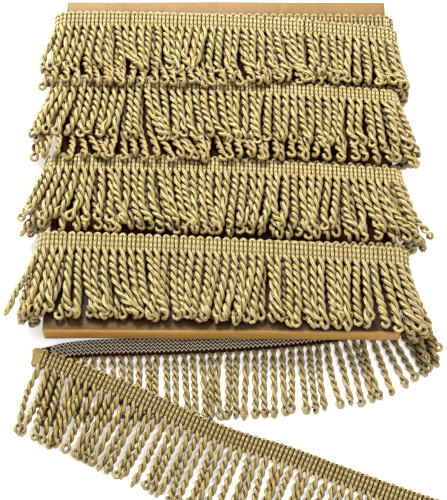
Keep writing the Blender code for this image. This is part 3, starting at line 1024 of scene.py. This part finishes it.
class FRINGE_OT_back_rows(bpy.types.Operator):
    """Winds the turns round the card's sides and under it"""

    bl_idname = "fringe.wind_back_rows"
    bl_label = "Wind Sides and Underside"

    def execute(self, context):
        trim = context.scene.fringe_trim
        shift = card_middle()
        rng = random.Random(SEED + 2)
        skin = under_skin(context)
        pitch = trim.pitch / MM

        def level_strand(local, place, rng):
            origin, ruling, _, normal = local
            root = origin + ruling * STRAND_ROOT
            reach = 44.0 + rng.uniform(-1.5, 1.5)
            lean = rng.gauss(0.0, 1.0)
            across = Vector((1.0, 0.0, 0.0)) if abs(normal.z) > 0.7 else Vector((0.0, 0.0, 1.0))
            out = Vector((normal.x, 0.0, 0.0)) * rng.uniform(1.0, 6.0)
            path = []
            for step in range(6):
                part = step / 5
                point = root + ruling * reach * part + across * lean * part + out * part * part
                path.append(point)
            return path, reach

        places = even_places(HALF_FLAT, pitch)
        pairs = zip(ROWS, ROWS[1:])
        rails = [under_rail(one[3] - 3.0, other[1] + 3.0, OUTER_UNDER) for one, other in pairs]
        rails.append(under_rail(ROWS[3][3] + 3.0, ROWS[3][1] + 2.0, INNER_UNDER))
        for number, rail in enumerate(rails):
            # The last turn lies inside the others, and its stitches don't show.
            outer = number < 3
            splines = fringe_splines(trim, rail, places, level_strand, False, rng, stitches=outer)
            name = "underside_row_%d_cords" % (number + 1)
            made = curve_piece(name, splines, skin, shift, trim.cord_radius, 1)
            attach(made, "root")
            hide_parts("winding")
        splines = []
        for number, values in enumerate(ROWS):
            row = dict(zip(ROW_COLUMNS, values))
            for side in (-1, 1):
                rail = face_rail(row, OUTER_LEVEL - 1.2)
                steps = 9 if number == 3 and side > 0 else 12
                places = [side * (117.5 + 2.4 * i) for i in range(steps)]
                flare = (RIGHT_FLARES if side > 0 else LEFT_FLARES)[number]

                def side_strand(local, place, rng, flare=flare, side=side, reach=row["reach"]):
                    origin, ruling, _, normal = local
                    root = origin + ruling * STRAND_ROOT - normal * 1.2
                    out = side * flare * rng.uniform(0.1, 0.95)
                    drop = Vector((0.0, 0.0, -rng.uniform(2.0, 7.0)))
                    path = []
                    for step in range(7):
                        part = step / 6
                        point = root + Vector((out * part ** 1.3, -reach * part, 0.0)) + drop * part
                        path.append(point)
                    return path, reach

                splines += fringe_splines(trim, rail, places, side_strand, False, rng, stitches=False)
        made = curve_piece("side_turn_cords", splines, skin, shift, trim.cord_radius, 1)
        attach(made, "root")
        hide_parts("winding")
        return {"FINISHED"}


class FRINGE_OT_tail(bpy.types.Operator):
    """Lays the loose tail: off the card, folded once, and out to the lower right"""

    bl_idname = "fringe.lay_tail"
    bl_label = "Lay Tail"

    def execute(self, context):
        trim = context.scene.fringe_trim
        shift = card_middle()
        rng = random.Random(SEED + 3)
        skin = tail_skin(context)
        thread = material("pale_binding_thread", thread_material, srgb("F6EAC8"))
        pitch = trim.pitch / MM
        width = trim.heading_width / MM
        length = trim.tail_strand / MM
        start_front = len(TAIL_BACK) + len(TAIL_FOLD) - 0.45
        limbs = (
            ("tail_side", SIDE_START, SIDE_END, SIDE_LIFT, True),
            ("tail_back", SIDE_END + 0.3, len(TAIL_BACK) - 1.1, 0.0, True),
            ("tail_front", start_front, len(TAIL) - 1.05, None, False),
        )
        for name, first, last, lift, reverse in limbs:
            places = spaced_places(tail_frame, first, last, pitch * (1.03 if reverse else 1.0), width)
            gathered = bunches(len(places), 1.5, rng)

            def strand_at(local, place, rng, lift=lift, places=places, gathered=gathered):
                rank = len(places) - 1 - places.index(place)
                fan = SIDE_FLARE + SIDE_FAN * rank if lift else 0.0
                return tail_strand(local, lift, rng, length, fan, gathered[places.index(place)])

            splines = fringe_splines(trim, tail_frame, places, strand_at, True, rng, ply=1.30)
            made = curve_piece(name + "_cords", splines, skin, shift, trim.cord_radius * 0.93, 2)
            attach(made, "root")
            if reverse:
                frames = [tail_frame(place) for place in places]
                rows = thread_rows(frames, ZIGZAG_ROWS, -1.85, 1.05, 4, ZIGZAG_THREAD)
                stitched = curve_piece(name + "_stitches", rows, thread, shift, trim.cord_radius, 1)
                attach(stitched, "root")
        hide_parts("tail_fringe_side")
        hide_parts("tail_fringe_back")
        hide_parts("tail_fringe_front")
        fold_places = spaced_places(tail_frame, len(TAIL_BACK) - 1.05, start_front - 0.1, 3.4, width)
        splines = []
        for place in fold_places:
            origin, ruling, tangent, _ = tail_frame(place)
            for side in (-1.4, 0.0):
                points = [origin + ruling * (1.6 + 12.0 * i / 8) + tangent * side for i in range(9)]
                splines.append((points, [0.85] * 9, False))
        made = curve_piece("tail_fold_cords", splines, skin, shift, trim.cord_radius, 2)
        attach(made, "root")
        # The tail's ground is darker still: painted shade between the cord's legs.
        ground = material("woven_ground_braid_reverse", ground_material, srgb("34170A"))
        count = 260
        frames = [tail_frame((len(TAIL) - 1) * i / count) for i in range(count + 1)]
        band = band_piece("tail_ground", frames, 0.6, 13.4, -1.2, ground, shift)
        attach(band, "root")
        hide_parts("tail_heading")
        return {"FINISHED"}


class FRINGE_OT_stage(bpy.types.Operator):
    """Sets the floor, the light and the camera"""

    bl_idname = "fringe.set_stage"
    bl_label = "Set Stage"

    def execute(self, context):
        stage = context.scene.fringe_stage
        shift = card_middle()
        bm = bmesh.new()
        bmesh.ops.create_grid(bm, x_segments=1, y_segments=1, size=4.0)
        bmesh.ops.translate(bm, verts=bm.verts, vec=(0.0, 0.0, -0.0002))
        board = material("matt_white_board", floor_material)
        floor = add_object("studio_floor", mesh_of("studio_floor", bm, board))
        world = bpy.data.worlds.new("even_white_studio")
        world.use_nodes = True
        backdrop = world.node_tree.nodes["Background"]
        backdrop.inputs["Color"].default_value = (1.0, 0.99, 0.975, 1.0)
        backdrop.inputs["Strength"].default_value = stage.sky_strength
        context.scene.world = world
        self.area("key_softbox", (-0.35, 0.85, 1.05), stage.key_power, 0.40, shift)
        self.area("fill_softbox", (0.60, -0.55, 1.10), stage.key_power * 0.25, 0.8, shift)
        data = bpy.data.cameras.new("photo_camera")
        data.sensor_width = 36.0
        data.lens = CAMERA_LENS
        data.clip_end = 20.0
        camera = add_object("photo_camera", data)
        rise = stage.camera_elevation
        swing, roll = math.radians(CAMERA_AZIMUTH), math.radians(CAMERA_ROLL)
        level = math.cos(rise)
        ahead = Vector((math.sin(swing) * level, math.cos(swing) * level, -math.sin(rise)))
        right = Vector((math.cos(swing), -math.sin(swing), 0.0))
        up = right.cross(ahead)
        right, up = (
            right * math.cos(roll) + up * math.sin(roll),
            up * math.cos(roll) - right * math.sin(roll),
        )
        turned = Matrix((right, up, -ahead)).transposed().to_4x4()
        place = shift + Vector(CAMERA_PLACE) * MM
        camera.matrix_world = Matrix.Translation(place) @ turned
        context.scene.camera = camera
        context.scene.view_settings.view_transform = "Standard"
        return {"FINISHED"}

    def area(self, name, place, power, size, shift):
        """A square soft light at this place, turned to the card."""
        data = bpy.data.lights.new(name, "AREA")
        data.energy = power
        data.size = size
        light = add_object(name, data)
        light.location = Vector(place) + shift
        aim = shift + Vector((0.0, -0.05, 0.0)) - light.location
        light.rotation_euler = aim.to_track_quat("-Z", "Y").to_euler()


class FRINGE_PT_panel(bpy.types.Panel):
    """Lists the trim's settings and the steps that make it"""

    bl_idname = "FRINGE_PT_panel"
    bl_label = "Cord Fringe"
    bl_space_type = "VIEW_3D"
    bl_region_type = "UI"
    bl_category = "Fringe"

    def draw(self, context):
        layout = self.layout
        trim = context.scene.fringe_trim
        for name in ("pitch", "heading_width", "tail_strand", "cord_radius", "twist_length"):
            layout.prop(trim, name)
        layout.prop(trim, "gold")
        layout.prop(trim, "shade")
        layout.prop(context.scene.fringe_card, "edge_round")
        layout.prop(context.scene.fringe_card, "kraft")
        for name in ("key_power", "sky_strength", "camera_elevation"):
            layout.prop(context.scene.fringe_stage, name)
        for step in STEPS:
            layout.operator(step)


STEPS = (
    "fringe.make_card",
    "fringe.wind_rows",
    "fringe.wind_under_rows",
    "fringe.wind_back_rows",
    "fringe.lay_tail",
    "fringe.set_stage",
)

CLASSES = (
    FringeSettings,
    CardSettings,
    StageSettings,
    FRINGE_OT_card,
    FRINGE_OT_rows,
    FRINGE_OT_under_rows,
    FRINGE_OT_back_rows,
    FRINGE_OT_tail,
    FRINGE_OT_stage,
    FRINGE_PT_panel,
)


def register():
    for found in CLASSES:
        bpy.utils.register_class(found)
    bpy.types.Scene.fringe_trim = bpy.props.PointerProperty(type=FringeSettings)
    bpy.types.Scene.fringe_card = bpy.props.PointerProperty(type=CardSettings)
    bpy.types.Scene.fringe_stage = bpy.props.PointerProperty(type=StageSettings)


def unregister():
    del bpy.types.Scene.fringe_stage
    del bpy.types.Scene.fringe_card
    del bpy.types.Scene.fringe_trim
    for found in reversed(CLASSES):
        bpy.utils.unregister_class(found)


def main():
    register()
    bpy.ops.fringe.make_card()
    bpy.ops.fringe.wind_rows()
    bpy.ops.fringe.wind_under_rows()
    bpy.ops.fringe.wind_back_rows()
    bpy.ops.fringe.lay_tail()
    bpy.ops.fringe.set_stage()


if __name__ == "__main__":
    main()
